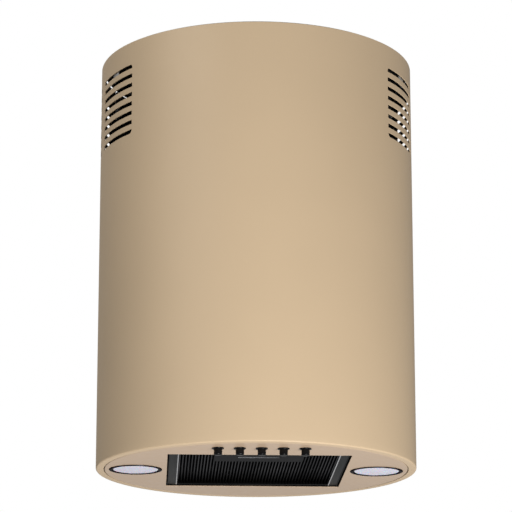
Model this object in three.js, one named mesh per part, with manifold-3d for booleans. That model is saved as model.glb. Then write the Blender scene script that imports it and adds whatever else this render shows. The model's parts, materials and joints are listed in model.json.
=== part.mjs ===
// Cylindrical island range hood: a round tube that hangs from the ceiling, with a grease filter,
// two lamps and a row of five push-buttons in its flat underside, and a blower inside.
// Millimetres, +Z up. The origin is the centre of the ceiling face; the buttons are towards -Y.
import * as THREE from 'three';
import { mergeVertices } from 'three/addons/utils/BufferGeometryUtils.js';
import Module from 'manifold-3d';

const wasm = await Module();
wasm.setup();

// ---------------------------------------------------------------- driving dimensions

const GAP = 0.3; // room left between pieces that touch
const TUBE_RADIUS = 195;
const TUBE_WALL = 1.2;
const TUBE_TOP = -1;
const BOTTOM = -510; // underside of the hood
const LIP_RADIUS = 185.4; // inner edge of the lip folded in at the tube's foot
const PANEL_GAP = 1; // seam between the lip and the bottom panel
const PANEL_RIM = 12; // height of the bottom panel's turned-up rim
const SHEET = 1.2; // thickness of the bottom panel
const ROUND_SEGMENTS = 72; // facets around the tube

const VENT_COUNT = 8; // slots in each of the two groups
const VENT_TOP = -32; // centre of the highest slot
const VENT_PITCH = 11.9;
const VENT_HEIGHT = 5.3;
const VENT_START = 53.2; // degrees round from the front
const VENT_END = 108;
const VENT_BAR = [77.2, 83.8]; // the upright bar that parts each group into two columns
const VENT_CORNER = 5; // corner radius of the group's outline

const PLATE_RADIUS = 193.2;
const PLATE_THICKNESS = 2;
const DUCT_HOLE_RADIUS = 84;
const BRACKET_ANGLES = [66, 114, 246, 294]; // degrees round from the front
const BRACKET_SCREW_RADIUS = 176; // how far out the bracket screws stand

const BOX_HALF_WIDTH = 116; // air box, outside
const BOX_FRONT = -115;
const BOX_BACK = 121;
const BOX_TOP = -186;
const BOX_WALL = 1;
const POST_LEG = 18;
const POST_WALL = 1.5;

const OPENING_HALF_WIDTH = 108.7; // hole in the bottom panel for the grease filter
const OPENING_FRONT = -108;
const OPENING_BACK = 114.5;
const FILTER_SIDE_GAP = 1.6; // beside the filter, to the opening's edge
const FILTER_END_GAP = 0.8; // and at its ends
const FILTER_DEPTH = 9;
const FILTER_RECESS = 1.6; // from the hood's underside up to the filter's face
const SIDE_STRIP = 12; // face width of the filter frame at its sides
const END_STRIP = 6; // and at its ends
const FRAME_WALL = 1.5;
const FACE_LIP = 0.8;
const RIB_PITCH = 3.75;
const LATCH_TRAVEL = 5;

const BUTTON_PITCH = 25.4;
const BUTTON_COUNT = 5;
const BUTTON_Y = -152.5;
const BUTTON_RADIUS = 4.9;
const BUTTON_STAND_OUT = 9;
const BUTTON_FLANGE_RADIUS = 7.05;
const BUTTON_NECK_RADIUS = 5.95;
const BUTTON_HOLE_RADIUS = 6.3;
const BUTTON_SEGMENTS = 16;

const LAMP_X = 146.6;
const LAMP_Y = -5;
const LAMP_RING_RADIUS = 32.25;
const LAMP_LENS_RADIUS = 27.1;
const LAMP_NECK = [26.8, 28.8]; // inside and outside radius of the ring's neck
const LAMP_HOLE_RADIUS = 29.3;
const LAMP_BODY_RADIUS = 26.3;
const LAMP_SEGMENTS = 28;

const FAN_Y = -10; // fan axis, which lies along X
const FAN_Z = -310;
const FAN_RADIUS = 72;
const FAN_HALF_LENGTH = 46;
const FAN_BLADES = 24;
const SCROLL_HALF_WIDTH = 56;
const SCROLL_WALL = 2;
const SCROLL_START = 125; // degrees: where the spiral leaves the tongue
const SCROLL_RADIUS = 83; // at the tongue
const SCROLL_GROWTH = 27; // from the tongue to the outlet
const INLET_RADIUS = 57.5;
const MOTOR_RADIUS = 38;
const SHAFT_RADIUS = 4;

const COLLAR_RADIUS = 75; // duct collar, outside: takes a 150 mm duct
const COLLAR_TOP = -98;
const PIN_Z = -122.5;
const PIN_RADIUS = 1.5;

// ---------------------------------------------------------------- finishes

function finish(color, roughness, metalness) {
  return () => new THREE.MeshStandardMaterial({ color, roughness, metalness });
}

const beigePaint = finish(0xc8b192, 0.42, 0.15);
const blackPaint = finish(0x17171a, 0.6, 0.1);
const galvanised = finish(0xb9bcbe, 0.38, 0.9);
const zincScrew = finish(0xc9ccce, 0.3, 0.95);
const darkAluminium = finish(0x46474b, 0.4, 0.75);
const meshAluminium = finish(0x35363a, 0.45, 0.7);
const paleAluminium = finish(0xa9abae, 0.5, 0.85);
const blackPlastic = finish(0x101012, 0.35, 0);
const blackMoulding = finish(0x1c1d20, 0.55, 0);
const chrome = finish(0xd8dadd, 0.08, 1);
const frostedLens = finish(0xd4d4e2, 0.5, 0);
const castAluminium = finish(0x9da0a4, 0.55, 0.9);
const steelShaft = finish(0x9a9da0, 0.25, 1);
const greyPlastic = finish(0x8d9094, 0.55, 0);
const greenPlastic = finish(0x3f6f52, 0.5, 0);
const blackRubber = finish(0x141414, 0.85, 0);

// ---------------------------------------------------------------- making solids

// Turns a closed geometry into a solid that can be joined and cut, facing outwards.
function solidOf(geometry) {
  const bare = geometry.index ? geometry.toNonIndexed() : geometry.clone();
  bare.deleteAttribute('normal');
  bare.deleteAttribute('uv');
  const merged = mergeVertices(bare, 1e-4);
  const corners = merged.index.array;
  const triVerts = [];
  for (let i = 0; i < corners.length; i += 3) {
    const [a, b, c] = [corners[i], corners[i + 1], corners[i + 2]];
    if (a !== b && b !== c && c !== a) {
      triVerts.push(a, b, c);
    }
  }
  const vertProperties = new Float32Array(merged.attributes.position.array);
  const build = (triangles) =>
    new wasm.Manifold(new wasm.Mesh({ numProp: 3, vertProperties, triVerts: new Uint32Array(triangles) }));
  const solid = build(triVerts);
  return solid.volume() > 0 ? solid : build(triVerts.reverse());
}

function geometryOf(solid) {
  const mesh = solid.getMesh();
  const geometry = new THREE.BufferGeometry();
  geometry.setAttribute('position', new THREE.BufferAttribute(mesh.vertProperties, 3));
  geometry.setIndex(new THREE.BufferAttribute(mesh.triVerts, 1));
  const faceted = geometry.toNonIndexed();
  faceted.computeVertexNormals();
  return faceted;
}

const X_AXIS = new THREE.Vector3(1, 0, 0);
const Y_AXIS = new THREE.Vector3(0, 1, 0);
const Z_AXIS = new THREE.Vector3(0, 0, 1);
const ALONG_X = new THREE.Matrix4().makeBasis(Y_AXIS, Z_AXIS, X_AXIS); // lays a Z build along X

function block(x0, x1, y0, y1, z0, z1) {
  const geometry = new THREE.BoxGeometry(x1 - x0, y1 - y0, z1 - z0);
  geometry.translate((x0 + x1) / 2, (y0 + y1) / 2, (z0 + z1) / 2);
  return solidOf(geometry);
}

// A turned solid about the Z axis, from its [radius, height] profile.
function turned(profile, segments) {
  const points = profile.map(([radius, height]) => new THREE.Vector2(radius, height));
  return new THREE.LatheGeometry(points, segments).rotateX(Math.PI / 2);
}

// The same, for a profile that keeps off the axis: its last point joins its first.
function turnedRing(profile, segments) {
  return turned([...profile, profile[0]], segments);
}

function rodProfile(radius, low, high) {
  return [[0, low], [radius, low], [radius, high], [0, high]];
}

function rod(radius, low, high, x, y, segments) {
  return solidOf(turned(rodProfile(radius, low, high), segments).translate(x, y, 0));
}

// A turned shape laid along X, with its axis through (y, z).
function laidAlongX(geometry, y, z) {
  return solidOf(geometry.applyMatrix4(ALONG_X).translate(0, y, z));
}

function rodAlongX(radius, x0, x1, y, z, segments) {
  return laidAlongX(turned(rodProfile(radius, x0, x1), segments), y, z);
}

function outline(points) {
  return new THREE.Shape(points.map(([x, y]) => new THREE.Vector2(x, y)));
}

function prism(shape, low, high) {
  const geometry = new THREE.ExtrudeGeometry(shape, { depth: high - low, bevelEnabled: false });
  return solidOf(geometry.translate(0, 0, low));
}

// A flat shape drawn in (y, z) and drawn out along X.
function prismAlongX(shape, x0, x1) {
  const geometry = new THREE.ExtrudeGeometry(shape, { depth: x1 - x0, bevelEnabled: false });
  return solidOf(geometry.translate(0, 0, x0).applyMatrix4(ALONG_X));
}

function joined(solids) {
  return solids.reduce((sum, solid) => sum.add(solid));
}

function cut(solid, tools) {
  return tools.reduce((rest, tool) => rest.subtract(tool), solid);
}

const hood = new THREE.Group();

function place(name, solid, makeMaterial, parent = hood) {
  const mesh = new THREE.Mesh(geometryOf(solid), makeMaterial());
  mesh.name = name;
  parent.add(mesh);
  return mesh;
}

// A group turned to an angle round the tube, counted from the front: +X inside it points outwards.
function turnedGroup(degreesFromFront) {
  const group = new THREE.Group();
  group.rotation.z = THREE.MathUtils.degToRad(degreesFromFront - 90);
  hood.add(group);
  return group;
}

const SIDES = [['left', -1], ['right', 1]];

// ---------------------------------------------------------------- outer tube

// One slot, drawn flat as arc length by height and then bent round the tube wall. The group's
// outline is rounded at its four outer corners; the slots' ends at the bar are square.
function ventSlot(index, side, startAngle, endAngle) {
  const arc = THREE.MathUtils.degToRad(1) * TUBE_RADIUS;
  const [start, end] = [startAngle * arc, endAngle * arc];
  const middle = VENT_TOP - index * VENT_PITCH;
  const [low, high] = [middle - VENT_HEIGHT / 2, middle + VENT_HEIGHT / 2];
  const atStart = startAngle === VENT_START ? VENT_CORNER : 0;
  const atEnd = endAngle === VENT_END ? VENT_CORNER : 0;
  const [lowest, highest] = [index === VENT_COUNT - 1, index === 0];
  const [lowStart, lowEnd] = lowest ? [atStart, atEnd] : [0, 0];
  const [highStart, highEnd] = highest ? [atStart, atEnd] : [0, 0];
  const steps = 3;
  const shape = new THREE.Shape();
  shape.moveTo(start + lowStart, low);
  for (let i = 1; i < steps; i += 1) {
    shape.lineTo(start + (end - start) * (i / steps), low);
  }
  shape.lineTo(end - lowEnd, low);
  if (lowEnd) {
    shape.quadraticCurveTo(end, low, end, low + lowEnd);
  }
  shape.lineTo(end, high - highEnd);
  if (highEnd) {
    shape.quadraticCurveTo(end, high, end - highEnd, high);
  }
  for (let i = steps - 1; i > 0; i -= 1) {
    shape.lineTo(start + (end - start) * (i / steps), high);
  }
  shape.lineTo(start + highStart, high);
  if (highStart) {
    shape.quadraticCurveTo(start, high, start, high - highStart);
  }
  shape.lineTo(start, low + lowStart);
  if (lowStart) {
    shape.quadraticCurveTo(start, low, start + lowStart, low);
  }
  const [inside, outside] = [TUBE_RADIUS - 5, TUBE_RADIUS + 32]; // its flat cap stays clear of the wall
  const options = { depth: outside - inside, bevelEnabled: false, curveSegments: 3 };
  const geometry = new THREE.ExtrudeGeometry(shape, options).translate(0, 0, inside);
  const position = geometry.attributes.position;
  for (let i = 0; i < position.count; i += 1) {
    const angle = (side * position.getX(i)) / TUBE_RADIUS;
    const radius = position.getZ(i);
    position.setXYZ(i, radius * Math.sin(angle), -radius * Math.cos(angle), position.getY(i));
  }
  return solidOf(geometry);
}

function outerTube() {
  const inner = TUBE_RADIUS - TUBE_WALL;
  const fold = 2;
  const shell = solidOf(turnedRing([
    [TUBE_RADIUS, TUBE_TOP],
    [TUBE_RADIUS, BOTTOM + fold],
    [TUBE_RADIUS - 0.3 * fold, BOTTOM + 0.3 * fold],
    [TUBE_RADIUS - fold, BOTTOM],
    [LIP_RADIUS, BOTTOM],
    [LIP_RADIUS, BOTTOM + TUBE_WALL],
    [TUBE_RADIUS - fold, BOTTOM + TUBE_WALL],
    [inner, BOTTOM + fold],
    [inner, TUBE_TOP],
  ], ROUND_SEGMENTS));
  const slots = [];
  for (const [, side] of SIDES) {
    for (let i = 0; i < VENT_COUNT; i += 1) {
      slots.push(ventSlot(i, side, VENT_START, VENT_BAR[0]));
      slots.push(ventSlot(i, side, VENT_BAR[1], VENT_END));
    }
  }
  return cut(shell, slots);
}

place('outer_tube', outerTube(), beigePaint);

// ---------------------------------------------------------------- bottom panel

const buttonX = Array.from({ length: BUTTON_COUNT }, (_, i) => (i - (BUTTON_COUNT - 1) / 2) * BUTTON_PITCH);

function bottomPanel() {
  const radius = LIP_RADIUS - PANEL_GAP;
  const pan = solidOf(turned([
    [0, BOTTOM],
    [radius, BOTTOM],
    [radius, BOTTOM + PANEL_RIM],
    [radius - SHEET, BOTTOM + PANEL_RIM],
    [radius - SHEET, BOTTOM + SHEET],
    [0, BOTTOM + SHEET],
  ], ROUND_SEGMENTS));
  const [low, high] = [BOTTOM - 1, BOTTOM + SHEET + 1];
  const holes = [block(-OPENING_HALF_WIDTH, OPENING_HALF_WIDTH, OPENING_FRONT, OPENING_BACK, low, high)];
  for (const x of buttonX) {
    holes.push(rod(BUTTON_HOLE_RADIUS, low, high, x, BUTTON_Y, BUTTON_SEGMENTS));
  }
  for (const [, side] of SIDES) {
    holes.push(rod(LAMP_HOLE_RADIUS, low, high, side * LAMP_X, LAMP_Y, LAMP_SEGMENTS));
  }
  return cut(pan, holes);
}

place('bottom_panel', bottomPanel(), beigePaint);

// ---------------------------------------------------------------- ceiling plate and its brackets

function onCircle(radius, degreesFromFront) {
  const angle = THREE.MathUtils.degToRad(degreesFromFront);
  return [radius * Math.sin(angle), -radius * Math.cos(angle)];
}

function ceilingSlot(degreesFromFront) {
  const [x, y] = onCircle(140, degreesFromFront);
  const slot = new THREE.BoxGeometry(22, 7, 10);
  slot.rotateZ(THREE.MathUtils.degToRad(degreesFromFront));
  return solidOf(slot.translate(x, y, 0));
}

// A shallow relief in the plate's left edge, where the tube's welded seam passes it.
function seamRelief() {
  const points = [];
  for (let angle = 236; angle <= 276; angle += 10) {
    points.push(onCircle(PLATE_RADIUS - 1.9, angle));
  }
  for (let angle = 276; angle >= 236; angle -= 10) {
    points.push(onCircle(PLATE_RADIUS + 12, angle));
  }
  return prism(outline(points), -5, 5);
}

const GROMMET = [62, -128];

function topPlate() {
  const disc = rod(PLATE_RADIUS, -PLATE_THICKNESS, 0, 0, 0, ROUND_SEGMENTS);
  const holes = [rod(DUCT_HOLE_RADIUS, -5, 5, 0, 0, 36), seamRelief()];
  holes.push(rod(10.3, -5, 5, ...GROMMET, 16));
  for (const angle of [45, 135, 225, 315]) {
    holes.push(ceilingSlot(angle));
  }
  for (const angle of BRACKET_ANGLES) {
    holes.push(rod(2.5, -5, 5, ...onCircle(BRACKET_SCREW_RADIUS, angle), 12));
  }
  return cut(disc, holes);
}

place('top_plate', topPlate(), blackPaint);

function cableGrommet() {
  const profile = [[6, -4.4], [12, -4.4], [12, -2.4], [9.8, -2.4], [9.8, -0.2], [6, -0.2]];
  return solidOf(turnedRing(profile, 16).translate(...GROMMET, 0));
}

place('cable_grommet', cableGrommet(), blackRubber);

const BRACKET_SHEET = 1.5;
const BRACKET_TOP = -PLATE_THICKNESS - GAP;

// An angle bracket inside the tube: it carries the tube on the ceiling plate.
function tubeBracket() {
  const reach = TUBE_RADIUS - TUBE_WALL - 0.9;
  const profile = outline([
    [reach, BRACKET_TOP],
    [reach - 30, BRACKET_TOP],
    [reach - 30, BRACKET_TOP - BRACKET_SHEET],
    [reach - BRACKET_SHEET, BRACKET_TOP - BRACKET_SHEET],
    [reach - BRACKET_SHEET, -40],
    [reach, -40],
  ]);
  const geometry = new THREE.ExtrudeGeometry(profile, { depth: 16, bevelEnabled: false });
  const bar = solidOf(geometry.rotateX(Math.PI / 2).translate(0, 8, 0));
  return bar.subtract(rod(2.5, -10, 0, BRACKET_SCREW_RADIUS, 0, 12));
}

// A pan-head screw, driven up through a bracket into the ceiling plate.
function bracketScrew() {
  const underHead = BRACKET_TOP - BRACKET_SHEET - GAP;
  return solidOf(turned([
    [0, underHead - 2.6],
    [2.4, underHead - 2.6],
    [4, underHead - 1.4],
    [4, underHead],
    [2, underHead],
    [2, -0.3],
    [0, -0.3],
  ], 12).translate(BRACKET_SCREW_RADIUS, 0, 0));
}

BRACKET_ANGLES.forEach((angle, i) => {
  const group = turnedGroup(angle);
  place(`tube_bracket_${i + 1}`, tubeBracket(), galvanised, group);
  place(`bracket_screw_${i + 1}`, bracketScrew(), zincScrew, group);
});

// ---------------------------------------------------------------- inner frame and air box

const PANEL_TOP = BOTTOM + SHEET;

// A corner post of angle section, hugging one corner of the air box.
function framePost(side, corner) {
  const near = 0.4;
  const innerX = BOX_HALF_WIDTH + near;
  const away = corner > 0 ? 1 : -1;
  const innerY = corner + away * near;
  const outer = [side * (innerX + POST_WALL), innerY + away * POST_WALL];
  const tips = [side * (innerX + POST_WALL - POST_LEG), innerY + away * (POST_WALL - POST_LEG)];
  const section = outline([
    outer,
    [tips[0], outer[1]],
    [tips[0], innerY],
    [side * innerX, innerY],
    [side * innerX, tips[1]],
    [outer[0], tips[1]],
  ]);
  return prism(section, PANEL_TOP + GAP, -PLATE_THICKNESS - GAP);
}

for (const [sideName, side] of SIDES) {
  place(`frame_post_front_${sideName}`, framePost(side, BOX_FRONT), galvanised);
  place(`frame_post_back_${sideName}`, framePost(side, BOX_BACK), galvanised);
}

const MOUTH_FRONT = FAN_Y + SCROLL_RADIUS * Math.cos(THREE.MathUtils.degToRad(SCROLL_START));
const MOUTH_BACK = FAN_Y + SCROLL_RADIUS + SCROLL_GROWTH;
const MOUTH_HALF_WIDTH = SCROLL_HALF_WIDTH - SCROLL_WALL;

// The sheet-metal box that joins the filter opening to the blower: open below, mouth above.
function airBox() {
  const low = PANEL_TOP + GAP;
  const shell = block(-BOX_HALF_WIDTH, BOX_HALF_WIDTH, BOX_FRONT, BOX_BACK, low, BOX_TOP);
  const inner = BOX_HALF_WIDTH - BOX_WALL;
  const room = block(-inner, inner, BOX_FRONT + BOX_WALL, BOX_BACK - BOX_WALL, low - 1, BOX_TOP - BOX_WALL);
  const mouth = block(-MOUTH_HALF_WIDTH, MOUTH_HALF_WIDTH, MOUTH_FRONT, MOUTH_BACK - SCROLL_WALL,
    BOX_TOP - 5, BOX_TOP + 5);
  return cut(shell, [room, mouth]);
}

place('air_box', airBox(), galvanised);

// ---------------------------------------------------------------- grease filter and its seat

const FILTER_HALF_WIDTH = OPENING_HALF_WIDTH - FILTER_SIDE_GAP;
const FILTER_FRONT = OPENING_FRONT + FILTER_END_GAP;
const FILTER_BACK = OPENING_BACK - FILTER_END_GAP;
const FILTER_FACE = BOTTOM + FILTER_RECESS;
const FILTER_TOP = FILTER_FACE + FILTER_DEPTH;
const HOOK_X = 60; // middle of each hook on the filter's far edge
const HOOK_HALF_WIDTH = 12;
const HOOK_LOW = FILTER_FACE + 4;
const HOOK_THICKNESS = 1.2;

// The dark frame round the opening, above the panel: hooks rest in its far wall.
function filterSeat() {
  const [inX, inFront, inBack] = [OPENING_HALF_WIDTH + 1.5, OPENING_FRONT - 1.5, OPENING_BACK + 1.5];
  const wall = 2.2;
  const [low, high] = [PANEL_TOP + GAP, PANEL_TOP + 14];
  const ring = block(-inX - wall, inX + wall, inFront - wall, inBack + wall, low, high);
  const cuts = [block(-inX, inX, inFront, inBack, low - 1, high + 1)];
  for (const [, side] of SIDES) {
    const x = side * HOOK_X;
    const half = HOOK_HALF_WIDTH + 2;
    cuts.push(block(x - half, x + half, inBack - 1, inBack + wall + 1, HOOK_LOW - 1.2, high + 1));
  }
  cuts.push(block(-10, 10, inFront - wall - 1, inFront + 1, LATCH_LOW - 1, LATCH_LOW + 3));
  return cut(ring, cuts);
}

const LATCH_LOW = FILTER_FACE + 3.8;
const LATCH_THICKNESS = 1.4;
const HANDLE_HALF_WIDTH = 53.5;
const HANDLE_FRONT = FILTER_FRONT + END_STRIP + GAP;
const HANDLE_BACK = -54.5;
const HANDLE_TOP = FILTER_FACE + 8;

place('filter_seat', filterSeat(), blackPaint);

// The rolled frame of the filter cassette, with two hooks on its far edge.
function filterFrame() {
  const body = block(-FILTER_HALF_WIDTH, FILTER_HALF_WIDTH, FILTER_FRONT, FILTER_BACK, FILTER_FACE, FILTER_TOP);
  const hooks = SIDES.map(([, side]) => block(side * HOOK_X - HOOK_HALF_WIDTH, side * HOOK_X + HOOK_HALF_WIDTH,
    FILTER_BACK - 1, FILTER_BACK + 3.9, HOOK_LOW, HOOK_LOW + HOOK_THICKNESS));
  const grooveX = FILTER_HALF_WIDTH - FRAME_WALL;
  const window = block(SIDE_STRIP - FILTER_HALF_WIDTH, FILTER_HALF_WIDTH - SIDE_STRIP,
    FILTER_FRONT + END_STRIP, FILTER_BACK - END_STRIP, FILTER_FACE - 1, FILTER_TOP + 1);
  const groove = block(-grooveX, grooveX, FILTER_FRONT + FRAME_WALL, FILTER_BACK - FRAME_WALL,
    FILTER_FACE + FACE_LIP, FILTER_TOP - FACE_LIP);
  const tongueHole = block(-9, 9, FILTER_FRONT - 1, FILTER_FRONT + END_STRIP, LATCH_LOW - 0.6,
    LATCH_LOW + LATCH_THICKNESS + 0.6);
  return cut(joined([body, ...hooks]), [window, groove, tongueHole]);
}

place('filter_frame', filterFrame(), darkAluminium);

const PACK_HALF_WIDTH = FILTER_HALF_WIDTH - FRAME_WALL - GAP;
const PACK_FRONT = FILTER_FRONT + FRAME_WALL + GAP;
const PACK_BACK = FILTER_BACK - FRAME_WALL - GAP;
const MESH_LOW = FILTER_FACE + FACE_LIP + GAP;
const MESH_WAVE = 2.4;

// The pack is cut away behind the handle.
function handleNotch() {
  const half = HANDLE_HALF_WIDTH + 0.5;
  return block(-half, half, PACK_FRONT - 1, HANDLE_BACK + 0.5, FILTER_FACE, FILTER_TOP);
}

// The pleated face mesh: a zigzag sheet whose ridges run front to back.
function filterMesh() {
  const sheet = 0.7;
  const ribs = Math.floor((2 * PACK_HALF_WIDTH) / RIB_PITCH);
  const start = (-ribs * RIB_PITCH) / 2;
  const face = [];
  for (let i = 0; i <= 2 * ribs; i += 1) {
    face.push([start + (i * RIB_PITCH) / 2, i % 2 ? MESH_LOW + MESH_WAVE : MESH_LOW]);
  }
  const back = face.map(([x, z]) => [x, z + sheet]).reverse();
  const geometry = new THREE.ExtrudeGeometry(outline([...face, ...back]),
    { depth: PACK_BACK - PACK_FRONT, bevelEnabled: false });
  const pleats = solidOf(geometry.rotateX(Math.PI / 2).translate(0, PACK_BACK, 0));
  return pleats.subtract(handleNotch());
}

place('filter_mesh', filterMesh(), meshAluminium);

// The pad of expanded metal that catches the grease behind the mesh.
function filterCore() {
  const low = MESH_LOW + MESH_WAVE + 1;
  const pad = block(-PACK_HALF_WIDTH, PACK_HALF_WIDTH, PACK_FRONT, PACK_BACK, low, FILTER_TOP - FACE_LIP - GAP);
  return pad.subtract(handleNotch());
}

place('filter_core', filterCore(), paleAluminium);

const FINGER_SLOT_FRONT = -87;
const FINGER_SLOT_BACK = FINGER_SLOT_FRONT + 2.6 + LATCH_TRAVEL;

// The handle plate with its shallow box, which guides the latch.
function filterHandle() {
  const body = block(-HANDLE_HALF_WIDTH, HANDLE_HALF_WIDTH, HANDLE_FRONT, HANDLE_BACK, FILTER_FACE + 0.1, HANDLE_TOP);
  const room = block(-50, 50, HANDLE_FRONT + 1.4, HANDLE_BACK - 1.5, FILTER_FACE + 1.3, HANDLE_TOP - 1);
  const fingerSlot = block(-25.5, 25.5, FINGER_SLOT_FRONT, FINGER_SLOT_BACK, FILTER_FACE - 1, FILTER_FACE + 2);
  const tongueHole = block(-9, 9, HANDLE_FRONT - 1, HANDLE_FRONT + 2, LATCH_LOW - 0.6,
    LATCH_LOW + LATCH_THICKNESS + 0.6);
  return cut(body, [room, fingerSlot, tongueHole]);
}

place('filter_handle', filterHandle(), darkAluminium);

// The spring latch: a slider with a finger lip and a tongue that holds the near edge up.
function filterLatch() {
  const top = LATCH_LOW + LATCH_THICKNESS;
  const slider = block(-28, 28, -95, -72, LATCH_LOW, top);
  const tongue = block(-7.5, 7.5, OPENING_FRONT + 0.4, -94, LATCH_LOW, top);
  const lip = block(-23, 23, FINGER_SLOT_FRONT + 0.6, FINGER_SLOT_FRONT + 2.2, FILTER_FACE + 0.5, top);
  return joined([slider, tongue, lip]);
}

place('filter_latch', filterLatch(), galvanised);

// ---------------------------------------------------------------- lamps

// The thin dark-chromed ring, nearly flush, with the neck that holds it in the panel.
function lampBezel() {
  const [inner, outer] = LAMP_NECK;
  const seat = LAMP_LENS_RADIUS + GAP;
  return solidOf(turnedRing([
    [seat, BOTTOM - 0.5],
    [29, BOTTOM - 1.1],
    [31.6, BOTTOM - 0.9],
    [LAMP_RING_RADIUS, BOTTOM - 0.6],
    [LAMP_RING_RADIUS, BOTTOM - GAP],
    [outer, BOTTOM - GAP],
    [outer, BOTTOM + 12],
    [inner, BOTTOM + 12],
    [inner, BOTTOM + 1.2],
    [seat, BOTTOM + 1.2],
  ], LAMP_SEGMENTS));
}

function lampLens() {
  return solidOf(turned([
    [0, BOTTOM - 0.7],
    [18, BOTTOM - 0.5],
    [LAMP_LENS_RADIUS, BOTTOM - 0.2],
    [LAMP_LENS_RADIUS, BOTTOM + 0.9],
    [0, BOTTOM + 0.9],
  ], LAMP_SEGMENTS));
}

// The cast can behind the lens: it holds the light-emitting diodes and sheds their heat.
function lampBody() {
  const groove = LAMP_BODY_RADIUS - 5;
  return solidOf(turned([
    [0, BOTTOM + 1.2],
    [LAMP_BODY_RADIUS, BOTTOM + 1.2],
    [LAMP_BODY_RADIUS, BOTTOM + 16],
    [groove, BOTTOM + 16],
    [groove, BOTTOM + 19],
    [LAMP_BODY_RADIUS, BOTTOM + 19],
    [LAMP_BODY_RADIUS, BOTTOM + 26],
    [0, BOTTOM + 26],
  ], LAMP_SEGMENTS));
}

for (const [sideName, side] of SIDES) {
  const lamp = new THREE.Group();
  lamp.position.set(side * LAMP_X, LAMP_Y, 0);
  hood.add(lamp);
  place(`lamp_bezel_${sideName}`, lampBezel(), chrome, lamp);
  place(`lamp_lens_${sideName}`, lampLens(), frostedLens, lamp);
  place(`lamp_body_${sideName}`, lampBody(), castAluminium, lamp);
}

// ---------------------------------------------------------------- push-buttons and their switch

const BANK_LOW = BOTTOM + 9.7;
const BANK_HALF_WIDTH = 66;

function buttonBezel() {
  return solidOf(turnedRing([
    [BUTTON_RADIUS + 0.4, BOTTOM - 1.7],
    [BUTTON_FLANGE_RADIUS - 0.4, BOTTOM - 1.7],
    [BUTTON_FLANGE_RADIUS, BOTTOM - 1.2],
    [BUTTON_FLANGE_RADIUS, BOTTOM - GAP],
    [BUTTON_NECK_RADIUS, BOTTOM - GAP],
    [BUTTON_NECK_RADIUS, BOTTOM + 5],
    [BUTTON_RADIUS + 0.4, BOTTOM + 5],
  ], BUTTON_SEGMENTS));
}

function buttonCap() {
  const tip = BOTTOM - BUTTON_STAND_OUT;
  return solidOf(turned([
    [0, tip],
    [BUTTON_RADIUS - 1.2, tip],
    [BUTTON_RADIUS, tip + 1.2],
    [BUTTON_RADIUS, BOTTOM + 6],
    [2.5, BOTTOM + 6],
    [2.5, BOTTOM + 17.5],
    [0, BOTTOM + 17.5],
  ], BUTTON_SEGMENTS));
}

buttonX.forEach((x, i) => {
  const group = new THREE.Group();
  group.position.set(x, BUTTON_Y, 0);
  hood.add(group);
  place(`button_bezel_${i + 1}`, buttonBezel(), blackPlastic, group);
  place(`button_cap_${i + 1}`, buttonCap(), blackPlastic, group);
});

// The switch block that the five button stems push into.
function switchBank() {
  const body = block(-BANK_HALF_WIDTH, BANK_HALF_WIDTH, BUTTON_Y - 9.5, BUTTON_Y + 9.5, BANK_LOW, BANK_LOW + 20);
  return cut(body, buttonX.map((x) => rod(3.1, BANK_LOW - 1, BOTTOM + 22, x, BUTTON_Y, 12)));
}

// The strap over the switch block, standing on the bottom panel.
function switchBracket() {
  const [low, high, wall] = [PANEL_TOP + GAP, BANK_LOW + 20 + GAP, 1.5];
  const outside = BANK_HALF_WIDTH + 0.5 + wall;
  const strap = block(-outside, outside, BUTTON_Y - 7.5, BUTTON_Y + 7.5, low, high + wall);
  const inside = outside - wall;
  return strap.subtract(block(-inside, inside, BUTTON_Y - 8.5, BUTTON_Y + 8.5, low - 1, high));
}

place('switch_bank', switchBank(), blackMoulding);
place('switch_bracket', switchBracket(), galvanised);

// ---------------------------------------------------------------- blower

// The scroll's outline in (y, z), moved inwards by inset: a spiral that opens into an upright mouth.
function scrollOutline(inset, top) {
  const points = [];
  const steps = 22;
  for (let i = 0; i <= steps; i += 1) {
    const share = i / steps;
    const angle = THREE.MathUtils.degToRad(SCROLL_START + share * (360 - SCROLL_START));
    const radius = SCROLL_RADIUS + share * SCROLL_GROWTH - inset;
    points.push([FAN_Y + radius * Math.cos(angle), FAN_Z + radius * Math.sin(angle)]);
  }
  points.push([MOUTH_BACK - inset, top]);
  points.push([points[0][0], top]);
  return outline(points);
}

function scrollHalf(side) {
  const span = (near, far) => (side < 0 ? [-far, -near] : [near, far]);
  const top = BOX_TOP - BOX_WALL - GAP;
  const shell = prismAlongX(scrollOutline(0, top), ...span(GAP / 2, SCROLL_HALF_WIDTH));
  const room = prismAlongX(scrollOutline(SCROLL_WALL, top + 5), ...span(-1, SCROLL_HALF_WIDTH - SCROLL_WALL));
  const inlet = rodAlongX(INLET_RADIUS + 0.8, ...span(40, 70), FAN_Y, FAN_Z, 24);
  return cut(shell, [room, inlet]);
}

// The bell-mouthed ring that leads air into the fan.
function inletRing(side) {
  const profile = [
    [INLET_RADIUS - 2.5, 50],
    [INLET_RADIUS, 50],
    [INLET_RADIUS, SCROLL_HALF_WIDTH + GAP],
    [70, SCROLL_HALF_WIDTH + GAP],
    [70, SCROLL_HALF_WIDTH + 1.8],
    [62, SCROLL_HALF_WIDTH + 2.6],
    [INLET_RADIUS - 1.5, SCROLL_HALF_WIDTH + 1],
  ].map(([radius, reach]) => [radius, side * reach]);
  return laidAlongX(turnedRing(profile, 24), FAN_Y, FAN_Z);
}

for (const [sideName, side] of SIDES) {
  place(`scroll_${sideName}`, scrollHalf(side), blackMoulding);
  place(`inlet_ring_${sideName}`, inletRing(side), blackMoulding);
}

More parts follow.
